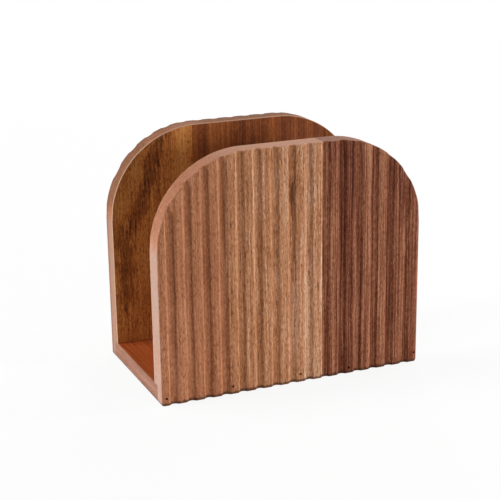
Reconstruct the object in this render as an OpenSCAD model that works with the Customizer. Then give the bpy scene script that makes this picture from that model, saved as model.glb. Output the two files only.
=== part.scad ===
// Upright napkin holder of edge-glued hardwood: two fluted arched panels that stand on the two
// long edges of a base board. All sizes are in millimetres. The origin is the middle of the
// underside, X runs along the panels, Y from the front panel to the back one, and Z is up.

/* [Holder] */
// Width of the holder, along its panels
holder_w = 156; // [120:1:200]
// Height of the panels
holder_h = 135; // [110:1:180]
// Depth of the holder, over the crests of both panels
holder_d = 87; // [70:1:120]

/* [Panels] */
// Thickness of a panel, from its flat inner face to its crests
panel_t = 11.5; // [9:0.5:16]
// Radius of a panel's two upper corners
arch_r = 52; // [30:1:58]
// Radius of a panel's two lower corners, which the base board shares
foot_r = 1.5; // [0.5:0.25:3]

/* [Flutes] */
// Distance from the middle of one groove to the next
flute_pitch = 10; // [8:0.5:14]
// Radius of the round cutter that leaves a groove
flute_r = 2.8; // [2.6:0.1:3.4]
// Depth of a groove below the crests
flute_depth = 1.4; // [0.8:0.1:2.4]
// Front panel: from its left edge, seen from outside, to the middle of its first groove
front_first_groove = 7.1; // [3:0.1:9]
// Back panel: from its left edge, seen from outside, to the middle of its first groove
back_first_groove = 8.4; // [3:0.1:9]

/* [Base] */
// Thickness of the base board
base_t = 10; // [8:0.5:14]
// Depth of the rabbet in a panel's lower inner edge, which the base board sits in
rabbet_depth = 5; // [3:0.25:6]

/* [Brads] */
// Diameter of a brad's shank
brad_d = 1; // [0.8:0.1:1.2]
// Diameter of a brad's head
brad_head_d = 1.3; // [1.3:0.1:1.8]
// Length of a brad's head
brad_head_l = 0.8; // [0.5:0.1:1.5]
// Length of a brad, over its head and its point
brad_l = 18; // [15:1:22]
// Length of a brad's point
brad_point_l = 1.2; // [0.8:0.1:2]
// Depth of a brad's head below the crests
brad_sink = 2.4; // [2.4:0.1:3]
// Height of the brads above the underside
brad_height = 4.6; // [4:0.1:5.4]
// Room round a brad in its hole
brad_clearance = 0.05; // [0.02:0.01:0.1]

/* [Hidden] */
$fn = 96;
// Glue lines, from the left edge of a panel seen from outside, as shares of its width
front_glue_shares = [0.248, 0.612];
back_glue_shares = [0.343, 0.682];
// Glue lines of the base board, from its left end, as shares of the holder's width
base_glue_shares = [0.335, 0.67];
// Brads of a panel, from its left edge seen from outside, as shares of its width
front_brad_shares = [0.0185, 0.264, 0.525, 0.717, 0.988];
back_brad_shares = [0.02, 0.255, 0.5, 0.745, 0.98];
// How high each of them is driven, as shares of the brads' height: they aren't level
front_lift_shares = [0.9, 0.98, 1.02, 0.7, 1.2];
back_lift_shares = [1.05, 0.9, 1, 1.1, 0.95];
// How far a cut runs past the face that it opens
overrun = 1;
// Half the width of a groove, where it opens in the crests
groove_half_w = sqrt(flute_r * flute_r - (flute_r - flute_depth) * (flute_r - flute_depth));
// Thickness of the lip that a rabbet leaves, and the width of the base board between both lips
lip_t = panel_t - rabbet_depth;
base_w = holder_d - 2 * lip_t;
// Hole for a brad: its two radii, and how deep its head and its point lie below the crests
shank_hole_r = brad_d / 2 + brad_clearance;
head_hole_r = brad_head_d / 2 + brad_clearance;
head_end = brad_sink + brad_head_l;
brad_end = brad_sink + brad_l;

// First and last edge of board number k of a row that the given shares divide
function board_start(shares, k) = k == 0 ? 0 : shares[k - 1] * holder_w;
function board_end(shares, k) = k == len(shares) ? holder_w : shares[k] * holder_w;

// Quarter disc with its square corner at the origin, in the quadrant that the two signs name
module quarter_disc(r, x_sign, y_sign) {
    intersection() {
        circle(r);
        translate([min(x_sign, 0) * r, min(y_sign, 0) * r]) square(r);
    }
}

// Outline of a panel seen from the front: flat foot and flat top, with round corners
module panel_outline() {
    translate([foot_r, 0]) square([holder_w - 2 * foot_r, foot_r]);
    translate([0, foot_r]) square([holder_w, holder_h - arch_r - foot_r]);
    translate([arch_r, holder_h - arch_r]) square([holder_w - 2 * arch_r, arch_r]);
    translate([foot_r, foot_r]) quarter_disc(foot_r, -1, -1);
    translate([holder_w - foot_r, foot_r]) quarter_disc(foot_r, 1, -1);
    translate([arch_r, holder_h - arch_r]) quarter_disc(arch_r, -1, 1);
    translate([holder_w - arch_r, holder_h - arch_r]) quarter_disc(arch_r, 1, 1);
}

// The outline as a block that runs past both faces of anything from depth 0 to the given depth
module outline_block(depth) {
    translate([0, depth + overrun, 0])
        rotate([90, 0, 0])
            linear_extrude(depth + 2 * overrun)
                panel_outline();
}

// Cross-section of one board of a panel: crests on Y = 0, grooves let in, inner face at panel_t
module board_section(from_x, to_x, first_groove) {
    first = ceil((from_x - groove_half_w - first_groove) / flute_pitch);
    last = floor((to_x + groove_half_w - first_groove) / flute_pitch);
    difference() {
        translate([from_x, 0]) square([to_x - from_x, panel_t]);
        for (k = [first : last])
            translate([first_groove + k * flute_pitch, flute_depth - flute_r]) circle(flute_r);
    }
}

// Stepped hole for a brad, from in front of the crests to the brad's point
module brad_hole() {
    rotate([-90, 0, 0]) {
        translate([0, 0, -overrun]) cylinder(r = head_hole_r, h = head_end + overrun);
        cylinder(r = shank_hole_r, h = brad_end);
    }
}

// Holes of the brads whose middle lies between the two edges of a board
module brad_holes(shares, lift_shares, from_x, to_x) {
    for (k = [0 : len(shares) - 1])
        if (shares[k] * holder_w > from_x && shares[k] * holder_w < to_x)
            translate([shares[k] * holder_w, 0, lift_shares[k] * brad_height]) brad_hole();
}

// One board of a panel, which stands with its crests on Y = 0 and its left edge on X = 0
module panel_board(glue_shares, k, first_groove, brad_shares, lift_shares) {
    from_x = board_start(glue_shares, k);
    to_x = board_end(glue_shares, k);
    difference() {
        intersection() {
            linear_extrude(holder_h) board_section(from_x, to_x, first_groove);
            outline_block(panel_t);
        }
        translate([from_x - overrun, lip_t, -overrun])
            cube([to_x - from_x + 2 * overrun, rabbet_depth + overrun, base_t + overrun]);
        brad_holes(brad_shares, lift_shares, from_x, to_x);
    }
}

// A brad with its head at depth 0, driven along +Y
module brad() {
    rotate([-90, 0, 0])
        rotate_extrude()
            polygon([
                [0, 0],
                [brad_head_d / 2, 0],
                [brad_head_d / 2, brad_head_l / 2],
                [brad_d / 2, brad_head_l],
                [brad_d / 2, brad_l - brad_point_l],
                [0, brad_l]
            ]);
}

// A panel's brads
module brad_row(shares, lift_shares) {
    for (k = [0 : len(shares) - 1])
        translate([shares[k] * holder_w, brad_sink, lift_shares[k] * brad_height]) brad();
}

// Puts what is drawn in a panel's own frame on the front of the holder, or on its back
module on_front() {
    translate([-holder_w / 2, -holder_d / 2, 0]) children();
}

module on_back() {
    rotate([0, 0, 180]) on_front() children();
}

module front_panel_board(k) {
    on_front()
        panel_board(front_glue_shares, k, front_first_groove, front_brad_shares, front_lift_shares);
}

module back_panel_board(k) {
    on_back()
        panel_board(back_glue_shares, k, back_first_groove, back_brad_shares, back_lift_shares);
}

// One board of the base, with the holes that both rows of brads run on into
module base_board(k) {
    from_x = board_start(base_glue_shares, k);
    to_x = board_end(base_glue_shares, k);
    difference() {
        on_front()
            intersection() {
                translate([from_x, lip_t, 0]) cube([to_x - from_x, base_w, base_t]);
                outline_block(holder_d);
            }
        on_front() brad_holes(front_brad_shares, front_lift_shares, from_x, to_x);
        on_back()
            brad_holes(back_brad_shares, back_lift_shares, holder_w - to_x, holder_w - from_x);
    }
}

module front_panel_left_board() {
    color([0.67, 0.44, 0.32]) front_panel_board(0);
}

module front_panel_middle_board() {
    color([0.68, 0.48, 0.35]) front_panel_board(1);
}

module front_panel_right_board() {
    color([0.5, 0.32, 0.23]) front_panel_board(2);
}

// Seen from behind, the back panel's left board is the one at the holder's right
module back_panel_left_board() {
    color([0.45, 0.25, 0.15]) back_panel_board(2);
}

module back_panel_middle_board() {
    color([0.42, 0.22, 0.11]) back_panel_board(1);
}

module back_panel_right_board() {
    color([0.52, 0.31, 0.15]) back_panel_board(0);
}

module base_left_board() {
    color([0.6, 0.3, 0.17]) base_board(0);
}

module base_middle_board() {
    color([0.56, 0.28, 0.16]) base_board(1);
}

module base_right_board() {
    color([0.6, 0.33, 0.2]) base_board(2);
}

module front_brads() {
    color([0.35, 0.34, 0.33]) on_front() brad_row(front_brad_shares, front_lift_shares);
}

module back_brads() {
    color([0.35, 0.34, 0.33]) on_back() brad_row(back_brad_shares, back_lift_shares);
}

front_panel_left_board();
front_panel_middle_board();
front_panel_right_board();
back_panel_left_board();
back_panel_middle_board();
back_panel_right_board();
base_left_board();
base_middle_board();
base_right_board();
front_brads();
back_brads();
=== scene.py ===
# Upright wooden napkin holder: two fluted arched panels on the long edges of a base board.
# Each board is shaped here again, with eased edges, and stands for its CAD node.
import math
from collections import namedtuple

import bmesh
import bpy
from mathutils import Matrix, Vector


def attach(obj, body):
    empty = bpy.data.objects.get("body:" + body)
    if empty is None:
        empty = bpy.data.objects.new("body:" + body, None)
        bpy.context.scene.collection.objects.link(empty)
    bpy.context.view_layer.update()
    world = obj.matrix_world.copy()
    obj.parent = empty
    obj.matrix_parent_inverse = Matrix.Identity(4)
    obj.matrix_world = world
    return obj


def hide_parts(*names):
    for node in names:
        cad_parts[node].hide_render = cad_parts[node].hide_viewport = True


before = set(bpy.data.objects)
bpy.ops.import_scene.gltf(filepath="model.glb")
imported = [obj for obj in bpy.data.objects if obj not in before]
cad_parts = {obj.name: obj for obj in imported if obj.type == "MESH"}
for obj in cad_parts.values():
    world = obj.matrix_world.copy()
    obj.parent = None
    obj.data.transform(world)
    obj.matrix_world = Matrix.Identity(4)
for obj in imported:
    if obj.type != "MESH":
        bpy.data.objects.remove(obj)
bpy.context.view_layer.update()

# A millimetre in the frame's metres
MM = 0.001

# The holder's sizes in millimetres, as the CAD part has them
HOLDER_W = 156.0
HOLDER_H = 135.0
HOLDER_D = 87.0
PANEL_T = 11.5
ARCH_R = 52.0
FOOT_R = 1.5
FLUTE_PITCH = 10.0
FLUTE_R = 2.8
FLUTE_DEPTH = 1.4
FRONT_FIRST_GROOVE = 7.1
BACK_FIRST_GROOVE = 8.4
BASE_T = 10.0
RABBET_DEPTH = 5.0
BRAD_D = 1.0
BRAD_HEAD_D = 1.3
BRAD_HEAD_L = 0.8
BRAD_L = 18.0
BRAD_SINK = 2.4
BRAD_HEIGHT = 4.6
BRAD_CLEARANCE = 0.05

# What follows from them: the lip beside a rabbet, the base between both lips, and the two radii
# of a brad's hole with the depths that they end at
HALF_W = HOLDER_W / 2
LIP_T = PANEL_T - RABBET_DEPTH
BASE_W = HOLDER_D - 2 * LIP_T
HEAD_HOLE_R = BRAD_HEAD_D / 2 + BRAD_CLEARANCE
SHANK_HOLE_R = BRAD_D / 2 + BRAD_CLEARANCE
HEAD_END = BRAD_SINK + BRAD_HEAD_L
BRAD_END = BRAD_SINK + BRAD_L

# Glue lines and brads as shares of the width, from the left edge of a panel seen from outside or
# from the left end of the base, and how high the brads are driven as shares of their height
FRONT_GLUE_SHARES = (0.248, 0.612)
BACK_GLUE_SHARES = (0.343, 0.682)
BASE_GLUE_SHARES = (0.335, 0.67)
FRONT_BRAD_SHARES = (0.0185, 0.264, 0.525, 0.717, 0.988)
BACK_BRAD_SHARES = (0.02, 0.255, 0.5, 0.745, 0.98)
FRONT_LIFT_SHARES = (0.9, 0.98, 1.02, 0.7, 1.2)
BACK_LIFT_SHARES = (1.05, 0.9, 1, 1.1, 0.95)

# Where a shape goes that is drawn in a panel's own frame, or in the holder's
ON_FRONT = Matrix.Translation((-HALF_W, -HOLDER_D / 2, 0))
ON_BACK = Matrix.Rotation(math.pi, 4, "Z") @ ON_FRONT
IN_PLACE = Matrix.Identity(4)

# Radius of a groove's sanded lips, and how far the other edges are rounded over
LIP_R = 1.2
EASED_EDGE = 0.35

# Steps in which curves are cut, and the longest flat of the arch
EASED_STEPS = 3
GROOVE_STEPS = 12
LIP_STEPS = 5
HOLE_STEPS = 20
FOOT_STEPS = 6
ARCH_STEP = 1.3

# How near two lines may stand, how near two points count as one, and the slivers to close up
CLEAR_OF_LINE = 0.45
SNAP = 1e-4
SLIVER = 0.005
SLIVER_PASSES = 4

# How far along an axis a face's unit normal has to reach, for the face to look that way
SQUARE_ON = 0.99

# The edge between two faces stays sharp past this many degrees
SHARP_ANGLE = 40

# Material slots of a board: planed or fluted face, and sawn and sanded edge
FACE, SAWN = 0, 1


def everything(bm):
    return bm.verts[:] + bm.edges[:] + bm.faces[:]


def of_kind(geom, kind):
    return [part for part in geom if isinstance(part, kind)]


def verts_of(geom):
    return of_kind(geom, bmesh.types.BMVert)


def close_rims(bm, surface):
    """Fills each open rim with a face."""
    rim = [edge for edge in bm.edges if edge.is_boundary]
    for face in bmesh.ops.holes_fill(bm, edges=rim, sides=0)["faces"]:
        face.material_index = surface


def saw(bm, point, normal, surface=SAWN):
    """Saws off what lies beyond a plane, and closes the cut."""
    bmesh.ops.bisect_plane(bm, geom=everything(bm), dist=SNAP, plane_co=point, plane_no=normal,
                           clear_outer=True)
    close_rims(bm, surface)


def pull(bm, faces, way):
    """Pulls flat faces out into a block, and gives its far faces."""
    pulled = bmesh.ops.extrude_face_region(bm, geom=faces)["geom"]
    bmesh.ops.translate(bm, verts=verts_of(pulled), vec=way)
    bmesh.ops.delete(bm, geom=faces, context="FACES_ONLY")
    return of_kind(pulled, bmesh.types.BMFace)


def round_over(bm, edges, radius, steps):
    """Rounds edges over, and gives the faces that this makes."""
    return bmesh.ops.bevel(bm, geom=edges, affect="EDGES", offset=radius, offset_type="OFFSET",
                           segments=steps, profile=0.5, material=-1, clamp_overlap=False)["faces"]


def ease(bm, edges):
    """Takes the sharpness off edges, as sandpaper does, and gives them the sawn look."""
    for face in round_over(bm, edges, EASED_EDGE, EASED_STEPS):
        face.material_index = SAWN


def fluted_blank(first_groove):
    """A square-cornered blank with flutes and a rabbet, wider than the panel on both sides."""
    bm = bmesh.new()
    # One flute of the cross-section: lip, groove, lip and crest, each arc running on from the last
    cutter_y = FLUTE_DEPTH - FLUTE_R
    half_w = math.sqrt((FLUTE_R + LIP_R) ** 2 - (LIP_R - cutter_y) ** 2)
    half_angle = math.atan2(half_w, LIP_R - cutter_y)
    middle = first_groove - FLUTE_PITCH
    tip = [bm.verts.new((middle - half_w, 0, 0))]
    for centre, angle, steps in (((middle - half_w, LIP_R, 0), half_angle, LIP_STEPS),
                                 ((middle, cutter_y, 0), -2 * half_angle, GROOVE_STEPS),
                                 ((middle + half_w, LIP_R, 0), half_angle, LIP_STEPS)):
        tip = verts_of(bmesh.ops.spin(bm, geom=tip, cent=centre, axis=(0, 0, 1), angle=angle,
                                      steps=steps)["geom_last"])
    crest = bmesh.ops.extrude_vert_indiv(bm, verts=tip)["verts"]
    bmesh.ops.translate(bm, verts=crest, vec=(FLUTE_PITCH - 2 * half_w, 0, 0))
    bmesh.ops.spin(bm, geom=everything(bm), dvec=(FLUTE_PITCH, 0, 0), axis=(0, 0, 1), angle=0,
                   steps=math.ceil(HOLDER_W / FLUTE_PITCH) + 1, use_duplicate=True)
    bmesh.ops.remove_doubles(bm, verts=bm.verts[:], dist=SNAP)
    # Close the cross-section behind the flutes, and pull it up to the height of the panel
    ends = [vert for vert in bm.verts if len(vert.link_edges) == 1]
    back = bmesh.ops.extrude_vert_indiv(bm, verts=ends)["verts"]
    bmesh.ops.translate(bm, verts=back, vec=(0, LIP_T, 0))
    bmesh.ops.contextual_create(bm, geom=back)
    top = bmesh.ops.contextual_create(bm, geom=bm.edges[:])["faces"]
    for rise in (BASE_T, HOLDER_H - BASE_T):
        top = pull(bm, top, (0, 0, rise))
    close_rims(bm, SAWN)
    # Above the rabbet the blank is as thick as the panel
    bmesh.ops.recalc_face_normals(bm, faces=bm.faces[:])
    behind = [face for face in bm.faces
              if face.normal.y > SQUARE_ON and face.calc_center_median().z > BASE_T]
    pull(bm, behind, (0, RABBET_DEPTH, 0))
    return bm


def clear_sides(bm):
    """Takes out the upright lines that stand so near a side that they would leave a sliver."""
    too_near = [edge for edge in bm.edges
                if abs(edge.verts[0].co.x - edge.verts[1].co.x) < SNAP
                and max(vert.co.y for vert in edge.verts) < LIP_T - SNAP
                and min(abs(edge.verts[0].co.x - side) for side in (0, HOLDER_W)) < CLEAR_OF_LINE]
    bmesh.ops.dissolve_edges(bm, edges=too_near, use_verts=True)


def upright_lines(bm):
    """Where the upright lines of the fluted face stand."""
    return sorted({round(vert.co.x, 3) for vert in bm.verts
                   if vert.co.y < FLUTE_DEPTH + SNAP and vert.co.z < SNAP
                   and 0 <= vert.co.x <= HOLDER_W})


def arch_points(lines):
    """Points round the left upper corner, from side to top, on the upright lines where it can."""
    reach = [0.0] + [x for x in lines if CLEAR_OF_LINE < x < ARCH_R] + [ARCH_R]
    angles = [math.acos(1 - x / ARCH_R) for x in reach]
    points = [angles[0]]
    for begin, end in zip(angles, angles[1:]):
        count = math.ceil((end - begin) * ARCH_R / ARCH_STEP)
        for k in range(1, count):
            angle = begin + (end - begin) * k / count
            room = [abs(math.cos(angle) - math.cos(other)) * ARCH_R for other in (begin, end)]
            if min(room) > CLEAR_OF_LINE:
                points.append(angle)
        points.append(end)
    return [(ARCH_R * (1 - math.cos(a)), HOLDER_H - ARCH_R + ARCH_R * math.sin(a)) for a in points]


def foot_points():
    """Points round the left lower corner, from its side to its underside."""
    angles = [math.pi / 2 * k / FOOT_STEPS for k in range(FOOT_STEPS + 1)]
    return [(FOOT_R * (1 - math.cos(a)), FOOT_R * (1 - math.sin(a))) for a in angles]


def saw_corner(bm, points, mirrored):
    """Saws a corner round, one flat after another. The points are those of the left corner."""
    for (x0, z0), (x1, z1) in zip(points, points[1:]):
        normal = Vector((z0 - z1, 0, x1 - x0))
        if normal.x > 0:
            normal.negate()
        point = Vector((x0, 0, z0))
        if mirrored:
            point.x = HOLDER_W - point.x
            normal.x = -normal.x
        saw(bm, point, normal)


def in_rabbet(edge):
    return all(vert.co.y > LIP_T - SNAP and vert.co.z < BASE_T + SNAP for vert in edge.verts)


def shaped_panel(first_groove):
    """A whole panel: the blank sawn to the arched outline, with its edges eased."""
    bm = fluted_blank(first_groove)
    clear_sides(bm)
    lines = upright_lines(bm)
    for mirrored in (False, True):
        side = HOLDER_W if mirrored else 0
        saw(bm, (side, 0, 0), (1 if mirrored else -1, 0, 0))
        own = [HOLDER_W - x for x in reversed(lines)] if mirrored else lines
        saw_corner(bm, arch_points(own), mirrored)
        saw_corner(bm, foot_points(), mirrored)
    bmesh.ops.recalc_face_normals(bm, faces=bm.faces[:])
    # The top and the underside are sawn too, but not the roof of the rabbet
    for face in bm.faces:
        middle = face.calc_center_median()
        roof = LIP_T < middle.y < PANEL_T and middle.z < HOLDER_H / 2
        if abs(face.normal.z) > SQUARE_ON and not roof:
            face.material_index = SAWN
    ease(bm, [edge for edge in bm.edges
              if len({face.material_index for face in edge.link_faces}) == 2
              and not in_rabbet(edge)])
    for _ in range(SLIVER_PASSES):
        bmesh.ops.dissolve_degenerate(bm, dist=SLIVER, edges=bm.edges[:])
    return bm


def end_edges(bm, z):
    """The two edges of the base at a height that run from front to back along its ends."""
    return [edge for edge in bm.edges
            if abs(sum(vert.co.x for vert in edge.verts)) > HOLDER_W - SNAP
            and all(abs(vert.co.z - z) < SNAP for vert in edge.verts)]


def shaped_base():
    """The whole base board, with its lower ends rounded as the panels' feet are."""
    bm = bmesh.new()
    size = Matrix.Diagonal((HOLDER_W, BASE_W, BASE_T, 1))
    bmesh.ops.create_cube(bm, size=1, matrix=Matrix.Translation((0, 0, BASE_T / 2)) @ size)
    for face in bm.faces:
        face.material_index = FACE if face.normal.z > SQUARE_ON else SAWN
    round_over(bm, end_edges(bm, 0), FOOT_R, FOOT_STEPS)
    ease(bm, end_edges(bm, BASE_T))
    return bm


def board_edges(glue_shares):
    """Where the boards of a row begin and end, from the left edge of the first."""
    return [share * HOLDER_W for share in (0, *glue_shares, 1)]


def sawn_off(bm, low, high):
    """One board of a glued-up row: a copy of what lies between two glue lines."""
    board = bm.copy()
    saw(board, (low, 0, 0), (-1, 0, 0), FACE)
    saw(board, (high, 0, 0), (1, 0, 0), FACE)
    return board


def brad_bits(brad_shares, lift_shares):
    """What a drill takes out for the brads: a stepped hole each, from in front of the crests."""
    bits = bmesh.new()
    for share, lift in zip(brad_shares, lift_shares):
        front = Matrix.Translation((share * HOLDER_W, -HEAD_HOLE_R, lift * BRAD_HEIGHT))
        mouth = bmesh.ops.create_circle(bits, cap_ends=True, segments=HOLE_STEPS,
                                        radius=HEAD_HOLE_R,
                                        matrix=front @ Matrix.Rotation(math.pi / 2, 4, "X"))
        cap = list({face for vert in mouth["verts"] for face in vert.link_faces})
        end = pull(bits, cap, (0, HEAD_HOLE_R + HEAD_END, 0))
        bmesh.ops.inset_individual(bits, faces=end, thickness=HEAD_HOLE_R - SHANK_HOLE_R)
        pull(bits, end, (0, BRAD_END - HEAD_END, 0))
    close_rims(bits, FACE)
    bmesh.ops.recalc_face_normals(bits, faces=bits.faces[:])
    return bits


def lay_out(name, bm, place, materials=()):
    """Makes an object of a shape, in metres and in its place."""
    bmesh.ops.transform(bm, matrix=Matrix.Scale(MM, 4) @ place, verts=bm.verts[:])
    mesh = bpy.data.meshes.new(name)
    for material in materials:
        mesh.materials.append(material)
    bm.to_mesh(mesh)
    bm.free()
    piece = bpy.data.objects.new(name, mesh)
    bpy.context.scene.collection.objects.link(piece)
    return piece


def drill(piece, bits):
    """Takes the brads' holes out of a board."""
    cut = piece.modifiers.new("brad_holes", "BOOLEAN")
    cut.object = bits
    cut.operation = "DIFFERENCE"
    cut.solver = "EXACT"
    graph = bpy.context.evaluated_depsgraph_get()
    drilled = bpy.data.meshes.new_from_object(piece.evaluated_get(graph))
    piece.modifiers.clear()
    plain = piece.data
    piece.data = drilled
    drilled.name = piece.name
    bpy.data.meshes.remove(plain)


def finish_board(piece, node):
    """Gives a board its soft shading, and lets it stand for its CAD node."""
    mesh = piece.data
    mesh.shade_smooth()
    mesh.set_sharp_from_angle(angle=math.radians(SHARP_ANGLE))
    piece.modifiers.new("flat_faces", "WEIGHTED_NORMAL").keep_sharp = True
    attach(piece, "root")
    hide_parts(node)


# A noise: how many lumps a millimetre across the grain and along it, how far it moves the seed on
# so that no two noises of a wood are alike, its detail and its roughness
Lumps = namedtuple("Lumps", "across along step detail roughness", defaults=(0, 2.0, 0.5))
# A streak: its place across the grain where it meets the table, half its width, the heights that
# it lies between, the length over which it fades there, how much lighter than its wood it is, and
# how far it leans for each millimetre up
Streak = namedtuple("Streak", "x half_w bottom top fade lighter lean", defaults=(0.0,))
# A band painted along an arris, such as a painted highlight: its depth in the holder, half its
# width, its colour and its strength
ArrisTint = namedtuple("ArrisTint", "depth half_w tone share")

# What bends the grain, and the reach of each bend as a share of a wood's drift
SLOW_BEND = Lumps(across=0.016, along=0.009)
QUICK_BEND = Lumps(across=0.12, along=0.04, step=3)
SLOW_BEND_SHARE = 2.0
QUICK_BEND_SHARE = 0.8

# The figure of wood: what lightens and darkens it
BANDS = Lumps(across=0.4, along=0.006, step=5, detail=3.0, roughness=0.6)
MOTTLES = Lumps(across=0.16, along=0.05, step=11)
FIBRES = Lumps(across=0.9, along=0.022, step=7, detail=3.0, roughness=0.7)
FLECKS = Lumps(across=1.4, along=0.42, step=9, detail=2.5, roughness=0.65)

# Open pores are short dark dashes, where their noise lies past these values
DASHES = Lumps(across=1.9, along=0.5, step=13, detail=1.5)
DASH_BEGINS, DASH_FULL = 0.56, 0.68

# How ragged a streak is, and the strengths between which it comes out
STREAK_RAGS = Lumps(across=1.1, along=0.12, step=15, detail=3.0, roughness=0.65)
STREAK_RAGGED = 1.9
STREAK_BEGINS, STREAK_FULL = 0.2, 1.0

# Where the four tones of a wood lie between dark and light
TONE_PLACES = (0.0, 0.33, 0.66, 1.0)

# The surface of oiled wood: its gloss, what makes it rougher, and its relief in millimetres, of
# which fibres, flecks and pores take a share each
GLOSS = 0.08
FIBRE_ROUGHNESS = 0.08
DASH_ROUGHNESS = 0.1
RELIEF = 0.03
FIBRE_RELIEF_SHARE, FLECK_RELIEF_SHARE, DASH_RELIEF_SHARE = 0.5, 0.4, -0.8

# The long wood of a side is painted lighter than the cross-cut wood round the arch: a painted
# sheen where the side faces the light. These are the heights in millimetres between which it ends
LONG_WOOD_TOP, CROSS_CUT_BOTTOM = 80, 97

# How ragged a painted band along an arris is, in millimetres, and over which share of its width it
# is full
ARRIS_TINT_RAGGED = 0.6
ARRIS_TINT_CORE_SHARE = 1 / 3

# Painted contact shadow just above the underside, where the feet meet the table: the heights in
# millimetres at which it begins, is full and has ended, how ragged its end is, and its strength
FOOT_SHADE_BEGINS, FOOT_SHADE_FULL, FOOT_SHADE_TOP = 0.05, 0.3, 2.2
FOOT_SHADE_RAGGED = 1.2
FOOT_SHADE_SHARE = 0.75

# Pale, rough spots on dark steel: their noise, the values between which they come out, the
# roughness beside them and on them, and their relief in millimetres
STEEL_SPOTS = Lumps(across=0.9, along=0.9, step=1)
SPOT_BEGINS, SPOT_FULL = 0.3, 0.7
SMOOTH_STEEL, ROUGH_STEEL = 0.35, 0.6
STEEL_RELIEF = 0.01


def paint(red, green, blue):
    """A colour named by its screen values, as the light values that a material takes."""
    values = [channel / 255 for channel in (red, green, blue)]
    return tuple(v / 12.92 if v <= 0.04045 else ((v + 0.055) / 1.055) ** 2.4 for v in values) + (1,)


def stains(*colours):
    """The tones of a wood, from the darkest to the lightest."""
    return [paint(*colour) for colour in colours]


def grey(light):
    return (light, light, light, 1)


REDDISH_TONES = stains((92, 50, 31), (131, 77, 49), (165, 108, 75), (192, 138, 104))
TAN_TONES = stains((96, 56, 36), (145, 92, 59), (178, 124, 87), (204, 167, 140))
DARK_TONES = stains((60, 25, 13), (98, 50, 32), (132, 79, 54), (170, 118, 88))
RUSSET_TONES = stains((64, 27, 10), (101, 50, 22), (134, 74, 37), (160, 99, 56))
UMBER_TONES = stains((64, 29, 13), (106, 54, 24), (142, 79, 37), (166, 104, 54))
GOLDEN_TONES = stains((78, 42, 21), (142, 81, 37), (184, 112, 54), (204, 142, 76))
BASE_TONES = stains((84, 32, 10), (128, 57, 24), (158, 75, 33), (180, 102, 54))
SIDE_SAWN_TONES = stains((128, 80, 56), (158, 106, 79), (184, 130, 104), (178, 152, 139))
TOP_SAWN_TONES = stains((132, 84, 60), (164, 113, 86), (188, 137, 111), (200, 160, 138))
DARK_SAWN_TONES = stains((104, 68, 52), (130, 90, 72), (156, 114, 96), (182, 142, 124))
BACK_SAWN_TONES = stains((104, 66, 46), (124, 84, 60), (166, 113, 86), (160, 130, 113))
# The pale colour of the painted highlight along an eased arris
PAINTED_ARRIS_HIGHLIGHT = paint(204, 166, 138)
GREYED = paint(112, 80, 68)
# Colour of the painted contact shadow along the foot
PAINTED_FOOT_SHADE = paint(58, 36, 26)
DARK_STEEL = paint(44, 38, 34)
PALE_STEEL = paint(82, 74, 68)


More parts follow.
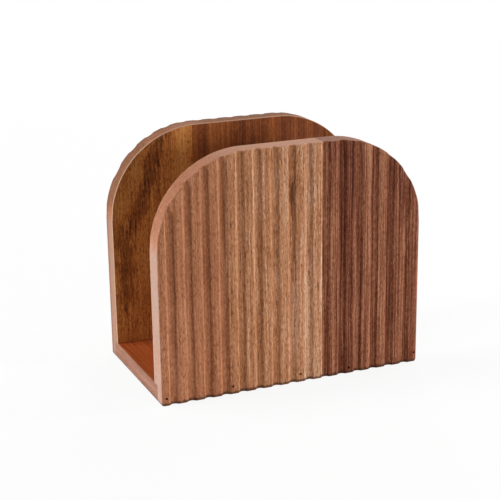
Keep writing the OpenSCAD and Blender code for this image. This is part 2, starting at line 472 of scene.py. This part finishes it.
class Recipe:
    """Puts the nodes of one material, or of the world, together."""

    def __init__(self, name, tree=None):
        if tree is None:
            self.material = bpy.data.materials.new(name)
            self.material.use_nodes = True
            tree = self.material.node_tree
        self.tree = tree
        self.tree.nodes.clear()

    def node(self, kind, sockets, **settings):
        made = self.tree.nodes.new(kind)
        for key, value in settings.items():
            setattr(made, key, value)
        for key, value in sockets.items():
            if isinstance(value, bpy.types.NodeSocket):
                self.tree.links.new(value, made.inputs[key])
            else:
                made.inputs[key].default_value = value
        return made

    def calc(self, operation, *values):
        return self.node("ShaderNodeMath", dict(enumerate(values)), operation=operation).outputs[0]

    def sum(self, *terms):
        total = terms[0]
        for term in terms[1:]:
            total = self.calc("ADD", total, term)
        return total

    def times(self, value, factor):
        return self.calc("MULTIPLY", value, factor)

    def off(self, value, middle):
        """How far a value lies from a middle, to either side."""
        return self.calc("ABSOLUTE", self.calc("SUBTRACT", value, middle))

    def swing(self, value, reach):
        """A noise value about its middle, as a swing of the given reach to either side."""
        return self.calc("MULTIPLY_ADD", value, 2 * reach, -reach)

    def place(self, turn=0.0):
        """Object coordinates in millimetres, turned about X."""
        coords = self.node("ShaderNodeTexCoord", {}).outputs["Object"]
        return self.node("ShaderNodeMapping", {"Vector": coords, "Scale": (1 / MM,) * 3,
                                               "Rotation": (turn, 0, 0)}).outputs[0]

    def split(self, place):
        return self.node("ShaderNodeSeparateXYZ", {0: place}).outputs

    def noise(self, place, lumps, seed=0.0):
        """Noise whose lumps measure about 1/across by 1/along millimetres."""
        start = seed + lumps.step
        spot = self.node("ShaderNodeMapping", {"Vector": place,
                                               "Scale": (lumps.across, lumps.across, lumps.along),
                                               "Location": (start, 2 * start, 3 * start)})
        return self.node("ShaderNodeTexNoise", {"Vector": spot.outputs[0], "Scale": 1.0,
                                                "Detail": lumps.detail,
                                                "Roughness": lumps.roughness}).outputs[0]

    def span(self, value, low, high, to_low=0.0, to_high=1.0, smooth=True):
        return self.node("ShaderNodeMapRange", {"Value": value, "From Min": low, "From Max": high,
                                                "To Min": to_low, "To Max": to_high},
                         interpolation_type="SMOOTHSTEP" if smooth else "LINEAR").outputs[0]

    def ramp(self, value, stops, interpolation="LINEAR"):
        made = self.node("ShaderNodeValToRGB", {"Fac": value})
        made.color_ramp.interpolation = interpolation
        elements = made.color_ramp.elements
        while len(elements) < len(stops):
            elements.new(1.0)
        for element, (position, colour) in zip(elements, stops):
            element.position = position
            element.color = colour
        return made.outputs[0]

    def blend(self, share, first, second):
        return self.node("ShaderNodeMix", {0: share, 6: first, 7: second},
                         data_type="RGBA").outputs[2]

    def blend_shaders(self, share, first, second):
        return self.node("ShaderNodeMixShader", {0: share, 1: first.outputs[0],
                                                 2: second.outputs[0]})

    def streak(self, bent_x, rise, ragged, mark):
        """A streak along the grain that is darker or lighter than the wood beside it."""
        middle = self.calc("MULTIPLY_ADD", rise, mark.lean, mark.x)
        within = self.times(self.span(self.off(bent_x, middle), mark.half_w, 0.0),
                            self.span(rise, mark.bottom, mark.bottom + mark.fade))
        within = self.times(within, self.span(rise, mark.top, mark.top - mark.fade))
        return self.times(self.span(self.sum(within, ragged), STREAK_BEGINS, STREAK_FULL),
                          mark.lighter)

    def straight_ray(self):
        """1 for what the camera sees itself, in a mirror or through glass, and 0 for soft light."""
        rays = self.node("ShaderNodeLightPath", {}).outputs
        mirrored = self.calc("MAXIMUM", rays["Is Camera Ray"], rays["Is Glossy Ray"])
        return self.calc("MAXIMUM", mirrored, rays["Is Transmission Ray"])

    def done(self, colour, roughness, height, depth, **constants):
        """Closes a material whose bumps are the given depth in millimetres."""
        bump = self.node("ShaderNodeBump", {"Height": height, "Distance": depth * MM,
                                            "Strength": 1.0})
        shader = self.node("ShaderNodeBsdfPrincipled", {"Base Color": colour,
                                                        "Roughness": roughness,
                                                        "Normal": bump.outputs[0], **constants})
        self.node("ShaderNodeOutputMaterial", {"Surface": shader.outputs[0]})
        return self.material


def tinted_arrises_and_foot_shade(recipe, colour, flecks, worn):
    """Tints the listed arrises, with a painted highlight on the napkins' side, and paints a contact
    shadow on the foot just above the table.
    """
    _, depth, height = recipe.split(recipe.place())
    # Painted highlights and other bands along arrises
    for tint in worn:
        off = recipe.sum(recipe.off(depth, tint.depth), recipe.swing(flecks, ARRIS_TINT_RAGGED))
        tinted = recipe.span(off, tint.half_w, tint.half_w * ARRIS_TINT_CORE_SHARE)
        colour = recipe.blend(recipe.times(tinted, tint.share), colour, tint.tone)
    # Painted contact shadow: darker just above the table, with a ragged top
    ragged = recipe.sum(height, recipe.swing(flecks, FOOT_SHADE_RAGGED))
    foot_shade = recipe.times(recipe.span(height, FOOT_SHADE_BEGINS, FOOT_SHADE_FULL),
                        recipe.span(ragged, FOOT_SHADE_TOP, FOOT_SHADE_TOP / 2))
    return recipe.blend(recipe.times(foot_shade, FOOT_SHADE_SHARE), colour, PAINTED_FOOT_SHADE)


def wood(name, tones, across, seed, upright=True, drift=0.8, band=0.28, mottle=0.14, fibre=0.45,
         run=FIBRES.along, fleck=0.7, pores=0.3, streaks=(), lighter_side=0.0, worn=(), rough=0.6):
    """Solid wood whose grain runs up, or from front to back.

    Across says how light the wood is at places given in millimetres across the grain. Drift is how
    far the grain bends, in millimetres. Band, mottle, fibre and fleck say how much each of them
    lightens and darkens the wood, run how quickly the fibres change along the grain, and pores how
    dark the pores are. The side's sheen is how much lighter the long wood of a side is painted than
    the cross-cut wood above it, a painted sheen, and rough is the roughness of the surface."""
    recipe = Recipe(name)
    place = recipe.place(0.0 if upright else math.pi / 2)
    slow, quick = recipe.noise(place, SLOW_BEND, seed), recipe.noise(place, QUICK_BEND, seed)
    wander = recipe.sum(recipe.swing(slow, drift * SLOW_BEND_SHARE),
                        recipe.swing(quick, drift * QUICK_BEND_SHARE))
    x, y, rise = recipe.split(place)
    bent_x = recipe.sum(x, wander)
    bent = recipe.node("ShaderNodeCombineXYZ", {0: bent_x, 1: y, 2: rise}).outputs[0]
    low, high = across[0][0], across[-1][0]
    level = recipe.ramp(recipe.span(bent_x, low, high, smooth=False),
                        [((spot - low) / (high - low), grey(light)) for spot, light in across],
                        "EASE")
    level = recipe.sum(level, recipe.swing(recipe.noise(bent, BANDS, seed), band),
                       recipe.swing(recipe.noise(bent, MOTTLES, seed), mottle))
    # Painted sheen: the long wood of a side lighter than the cross-cut wood round the arch
    if lighter_side:
        level = recipe.sum(level, recipe.times(recipe.span(rise, CROSS_CUT_BOTTOM, LONG_WOOD_TOP),
                                               lighter_side))
    ragged = recipe.swing(recipe.noise(bent, STREAK_RAGS, seed), STREAK_RAGGED)
    for streak in streaks:
        level = recipe.sum(level, recipe.streak(bent_x, rise, ragged, streak))
    fibres = recipe.noise(bent, FIBRES._replace(along=run), seed)
    flecks = recipe.noise(bent, FLECKS, seed)
    level = recipe.sum(level, recipe.swing(fibres, fibre), recipe.swing(flecks, fleck))
    colour = recipe.ramp(level, list(zip(TONE_PLACES, tones)))
    dashes = recipe.span(recipe.noise(bent, DASHES, seed), DASH_BEGINS, DASH_FULL)
    colour = recipe.blend(recipe.times(dashes, pores), colour, tones[0])
    # Painted arris highlights and painted contact shadow at the foot
    colour = tinted_arrises_and_foot_shade(recipe, colour, flecks, worn)
    roughness = recipe.sum(recipe.swing(fibres, FIBRE_ROUGHNESS),
                           recipe.times(dashes, DASH_ROUGHNESS), rough)
    relief = recipe.sum(recipe.times(fibres, FIBRE_RELIEF_SHARE),
                        recipe.times(flecks, FLECK_RELIEF_SHARE),
                        recipe.times(dashes, DASH_RELIEF_SHARE))
    return recipe.done(colour, roughness, relief, RELIEF, **{"Specular IOR Level": GLOSS})


def sawn_wood(name, tones, across, seed, **look):
    """Wood that was sawn and sanded: rougher, and with a quieter figure."""
    plain = {"band": 0.14, "mottle": 0.06, "fleck": 0.45, "pores": 0.35, "rough": 0.8}
    return wood(name, tones, across, seed, **{**plain, **look})


def dulled_steel():
    steel = Recipe("brad_steel")
    spots = steel.noise(steel.place(), STEEL_SPOTS)
    colour = steel.ramp(spots, [(SPOT_BEGINS, DARK_STEEL), (SPOT_FULL, PALE_STEEL)])
    roughness = steel.span(spots, SPOT_BEGINS, SPOT_FULL, SMOOTH_STEEL, ROUGH_STEEL)
    return steel.done(colour, roughness, spots, STEEL_RELIEF, Metallic=1.0)


# The woods: how light each is across its own board, and its streaks. Places are in millimetres
# from the middle of the holder, and heights from the table
EVEN = ((-HALF_W, 0.6), (HALF_W, 0.6))
TAN_STREAKS = (
    Streak(x=0.3, half_w=5, bottom=92, top=160, fade=24, lighter=-0.2),
    Streak(x=0, half_w=2.6, bottom=50, top=132, fade=24, lighter=-0.36),
    Streak(x=-10.5, half_w=2.2, bottom=58, top=112, fade=14, lighter=-0.24),
    Streak(x=-27, half_w=2, bottom=70, top=150, fade=30, lighter=-0.1),
    Streak(x=17.5, half_w=2.4, bottom=-40, top=96, fade=30, lighter=0.14),
    Streak(x=10, half_w=16, bottom=-60, top=84, fade=40, lighter=0.12),
)
DARK_STREAKS = (
    Streak(x=69, half_w=4, bottom=60, top=86, fade=10, lighter=0.25),
    Streak(x=23, half_w=4, bottom=70, top=240, fade=40, lighter=-0.14),
    Streak(x=68, half_w=12, bottom=66, top=240, fade=40, lighter=-0.16),
)
GOLDEN_STREAKS = (
    Streak(x=-71.5, half_w=10, bottom=12, top=94, fade=26, lighter=-0.42),
    Streak(x=-90.6, half_w=9, bottom=66, top=160, fade=22, lighter=-0.44, lean=0.322),
    Streak(x=-101, half_w=6, bottom=78, top=126, fade=16, lighter=0.16, lean=0.33),
    Streak(x=-42, half_w=8, bottom=80, top=160, fade=30, lighter=0.26, lean=0.06),
)
reddish_face = wood("reddish_face", REDDISH_TONES, ((-HALF_W, 0.6), (-60, 0.62), (-39, 0.6)),
                    seed=1.0, band=0.36, fleck=0.45, pores=0.56)
tan_face = wood("tan_face", TAN_TONES,
                ((-39.4, 0.58), (-28, 0.57), (-12, 0.61), (4, 0.68), (14, 0.68), (17.3, 0.69)),
                seed=2.0, band=0.38, fibre=0.6, fleck=0.5, pores=0.58, streaks=TAN_STREAKS)
dark_face = wood("dark_face", DARK_TONES,
                 ((17.5, 0.6), (22, 0.55), (25.4, 0.55), (26.4, 0.95), (27.6, 0.36), (34, 0.36),
                  (38, 0.56), (46, 0.6), (49, 0.5), (52.6, 0.74), (55, 0.76), (57.5, 0.56),
                  (64, 0.6), (HALF_W, 0.54)),
                 seed=3.0, band=0.62, fibre=1.2, run=0.009, fleck=0.55, pores=0.45,
                 streaks=DARK_STREAKS)
russet_face = wood("russet_face", RUSSET_TONES, ((24, 0.45), (HALF_W, 0.5)), seed=4.0, fibre=0.6,
                   run=0.01, fleck=0.4)
umber_face = wood("umber_face", UMBER_TONES,
                  ((-28, 0.7), (-22, 0.44), (-15, 0.8), (-10, 0.6), (-3, 0.45), (12, 0.42),
                   (24, 0.5)),
                  seed=5.0, band=0.25, fibre=0.7, run=0.01, fleck=0.5)
golden_face = wood("golden_face", GOLDEN_TONES,
                   ((-HALF_W, 0.7), (-60, 0.66), (-46, 0.64), (-40, 0.68), (-34, 0.74),
                    (-28, 0.6)),
                   seed=6.0, drift=1.2, fibre=0.5, fleck=0.6, pores=0.6, streaks=GOLDEN_STREAKS)
base_face = wood("base_face", BASE_TONES, EVEN, seed=7.0, upright=False, band=0.2, fibre=0.7,
                 run=0.01, fleck=0.3)

# Sawn edges, with a painted highlight along the arrises on the napkins' side of each panel, and
# the outer arris at the back greyed
FRONT_ARRIS_TINTS = (ArrisTint(depth=-HOLDER_D / 2 + PANEL_T, half_w=1.0, tone=PAINTED_ARRIS_HIGHLIGHT, share=0.3),)
BACK_ARRIS_TINTS = (ArrisTint(depth=HOLDER_D / 2 - PANEL_T, half_w=1.6, tone=PAINTED_ARRIS_HIGHLIGHT, share=0.6),
             ArrisTint(depth=HOLDER_D / 2, half_w=5.0, tone=GREYED, share=0.5))
# The front's sides carry a painted sheen below the arch
sawn_side = sawn_wood("sawn_side", SIDE_SAWN_TONES,
                      ((-HALF_W, 0.4), (-62, 0.36), (-50, 0.5), (-39, 0.68)),
                      seed=8.0, lighter_side=0.5, worn=FRONT_ARRIS_TINTS)
sawn_middle = sawn_wood("sawn_middle", TOP_SAWN_TONES,
                        ((-39.4, 0.7), (-24, 0.7), (-12, 0.76), (17, 0.78)),
                        seed=8.5, worn=FRONT_ARRIS_TINTS)
sawn_dark = sawn_wood("sawn_dark", DARK_SAWN_TONES, EVEN, seed=9.0, worn=FRONT_ARRIS_TINTS)
# The back's sides carry a painted sheen below the arch
sawn_back = sawn_wood("sawn_back", BACK_SAWN_TONES,
                      ((-HALF_W, 0.34), (-60, 0.36), (-52, 0.5), (-44, 0.5), (-35, 0.72),
                       (-27, 0.66), (-18, 0.42), (HALF_W, 0.36)),
                      seed=9.5, lighter_side=0.55, worn=BACK_ARRIS_TINTS)
base_sawn = sawn_wood("base_sawn", DARK_SAWN_TONES, EVEN, seed=10.0, upright=False, band=0.25,
                      fibre=0.8, run=0.01, fleck=0.3)

# A panel's boards, from its left edge seen from outside, are named as the holder has them seen
# from the front
Board = namedtuple("Board", "side slot face edge")
Panel = namedtuple("Panel", "name place first_groove glue_shares brad_shares lift_shares boards")
PANELS = (
    Panel("front", ON_FRONT, FRONT_FIRST_GROOVE,
          FRONT_GLUE_SHARES, FRONT_BRAD_SHARES, FRONT_LIFT_SHARES,
          (Board("left", "reddish_wood", reddish_face, sawn_side),
           Board("middle", "tan_wood", tan_face, sawn_middle),
           Board("right", "dark_wood", dark_face, sawn_dark))),
    Panel("back", ON_BACK, BACK_FIRST_GROOVE,
          BACK_GLUE_SHARES, BACK_BRAD_SHARES, BACK_LIFT_SHARES,
          (Board("right", "russet_wood", russet_face, sawn_back),
           Board("middle", "umber_wood", umber_face, sawn_back),
           Board("left", "golden_wood", golden_face, sawn_back))),
)


def make_panel(panel, bits):
    """Shapes a panel whole, saws it into its boards and drills them."""
    whole = shaped_panel(panel.first_groove)
    edges = board_edges(panel.glue_shares)
    for board, low, high in zip(panel.boards, edges, edges[1:]):
        piece = lay_out(f"{panel.name}_{board.side}_board", sawn_off(whole, low, high),
                        panel.place, (board.face, board.edge))
        drill(piece, bits)
        finish_board(piece, f"{panel.name}_panel_{board.side}_board")
    whole.free()


def make_base(both_bits):
    """Shapes the base whole, saws it into its boards and drills them from both sides."""
    whole = shaped_base()
    edges = [edge - HALF_W for edge in board_edges(BASE_GLUE_SHARES)]
    for side, low, high in zip(("left", "middle", "right"), edges, edges[1:]):
        piece = lay_out(f"base_{side}_board_shaped", sawn_off(whole, low, high), IN_PLACE,
                        (base_face, base_sawn))
        for bits in both_bits:
            drill(piece, bits)
        finish_board(piece, f"base_{side}_board")
    whole.free()


brad_cutters = [lay_out(f"{panel.name}_bits", brad_bits(panel.brad_shares, panel.lift_shares),
                        panel.place)
                for panel in PANELS]
for panel, bits in zip(PANELS, brad_cutters):
    make_panel(panel, bits)
make_base(brad_cutters)
for bits in brad_cutters:
    bpy.data.objects.remove(bits)

# The brads keep their CAD shape
brad_steel = dulled_steel()
for node in ("front_brads", "back_brads"):
    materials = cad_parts[node].data.materials
    materials.clear()
    materials.append(brad_steel)


# The photograph's camera: where it stands in degrees and millimetres, the point that it faces, its
# focal length and picture in pixels, and its sensor and its nearest sight in millimetres
AZIMUTH, ELEVATION, ROLL = -23.14, 16.91, -0.818
DISTANCE = 741.6
AIM = Vector((-7.14, 0, 66.27))
FOCAL, IMAGE = 1304.98, 500
SENSOR = 36
NEAREST_SEEN = 50

# The softboxes' distance, diameter and the point that they face, in millimetres, and the name,
# azimuth, elevation and power of each
LIGHT_REACH = 1500
LIGHT_D = 500
LIGHT_AIM = Vector((0, 0, 67))
SOFTBOXES = (
    ("key_softbox", 78, 12, 16),
    ("left_rim_softbox", -100, 12, 22),
    ("top_left_softbox", -120, 60, 7),
    ("right_rim_softbox", 110, 12, 11),
    ("back_softbox", 150, 35, 6),
    ("front_fill_softbox", 27, 8, 14.4),
)

# How strongly the white studio lights the holder
STUDIO_LIGHT = 0.03

# The floor is a round white card just below the feet, with lengths in millimetres. It throws light
# up from near the holder only. To straight rays it glows white by itself, and the share that
# doesn't, near the holder, shows the shadow
FLOOR_R = 3000
FLOOR_SIDES = 64
FLOOR_DROP = 0.1
BRIGHT_TO, DIM_FROM = 140, 360
BRIGHT_CARD, DIM_CARD, SEEN_CARD = grey(0.9), grey(0.25), grey(0.85)
SHADOW_TO, NO_SHADOW_FROM = 400, 1000
GLOW_SHARE = 0.9
WHITE = grey(1)


def way_to(azimuth, elevation):
    """The way from the holder to a place, whose azimuth runs from the front towards +X."""
    turn, rise = math.radians(azimuth), math.radians(elevation)
    return Vector((math.sin(turn) * math.cos(rise), -math.cos(turn) * math.cos(rise),
                   math.sin(rise)))


def photo_camera():
    back = way_to(AZIMUTH, ELEVATION)
    right = (-back).cross(Vector((0, 0, 1))).normalized()
    up = right.cross(-back)
    axes = Matrix((right, up, back)).transposed() @ Matrix.Rotation(math.radians(ROLL), 3, "Z")
    camera = bpy.data.objects.new("camera", bpy.data.cameras.new("camera"))
    camera.data.sensor_width = SENSOR
    camera.data.lens = FOCAL * SENSOR / IMAGE
    camera.data.clip_start = NEAREST_SEEN * MM
    camera.matrix_world = Matrix.Translation((AIM + back * DISTANCE) * MM) @ axes.to_4x4()
    bpy.context.scene.collection.objects.link(camera)
    bpy.context.scene.camera = camera


def softbox(name, azimuth, elevation, power):
    """A round soft light that faces the holder."""
    light = bpy.data.lights.new(name, "AREA")
    light.shape = "DISK"
    light.size = LIGHT_D * MM
    light.energy = power
    way = way_to(azimuth, elevation)
    lamp = bpy.data.objects.new(name, light)
    lamp.matrix_world = (Matrix.Translation((LIGHT_AIM + way * LIGHT_REACH) * MM)
                         @ way.to_track_quat("Z", "Y").to_matrix().to_4x4())
    lamp.visible_camera = False
    bpy.context.scene.collection.objects.link(lamp)


def white_studio():
    """A world that is plain white to straight rays, and gives the holder a little light."""
    world = bpy.data.worlds.new("studio")
    bpy.context.scene.world = world
    world.use_nodes = True
    studio = Recipe("studio", world.node_tree)
    lit = studio.node("ShaderNodeBackground", {"Color": WHITE, "Strength": STUDIO_LIGHT})
    seen = studio.node("ShaderNodeBackground", {"Color": WHITE, "Strength": 1.0})
    choose = studio.blend_shaders(studio.straight_ray(), lit, seen)
    studio.node("ShaderNodeOutputWorld", {"Surface": choose.outputs[0]})


def white_card():
    card = Recipe("white_card")
    straight = card.straight_ray()
    far = card.node("ShaderNodeVectorMath", {0: card.place()}, operation="LENGTH").outputs["Value"]
    tone = card.blend(card.span(far, BRIGHT_TO, DIM_FROM), BRIGHT_CARD, DIM_CARD)
    dull = card.node("ShaderNodeBsdfDiffuse", {"Color": card.blend(straight, tone, SEEN_CARD)})
    glow = card.node("ShaderNodeEmission", {"Color": WHITE, "Strength": 1.0})
    share = card.times(straight, card.span(far, SHADOW_TO, NO_SHADOW_FROM, GLOW_SHARE, 1.0))
    both = card.blend_shaders(share, dull, glow)
    card.node("ShaderNodeOutputMaterial", {"Surface": both.outputs[0]})
    return card.material


def white_floor():
    bm = bmesh.new()
    bmesh.ops.create_circle(bm, cap_ends=True, segments=FLOOR_SIDES, radius=FLOOR_R)
    floor = lay_out("floor", bm, Matrix.Translation((0, 0, -FLOOR_DROP)), (white_card(),))


photo_camera()
for name, azimuth, elevation, power in SOFTBOXES:
    softbox(name, azimuth, elevation, power)
white_studio()
white_floor()

bpy.context.scene.view_settings.view_transform = "Standard"
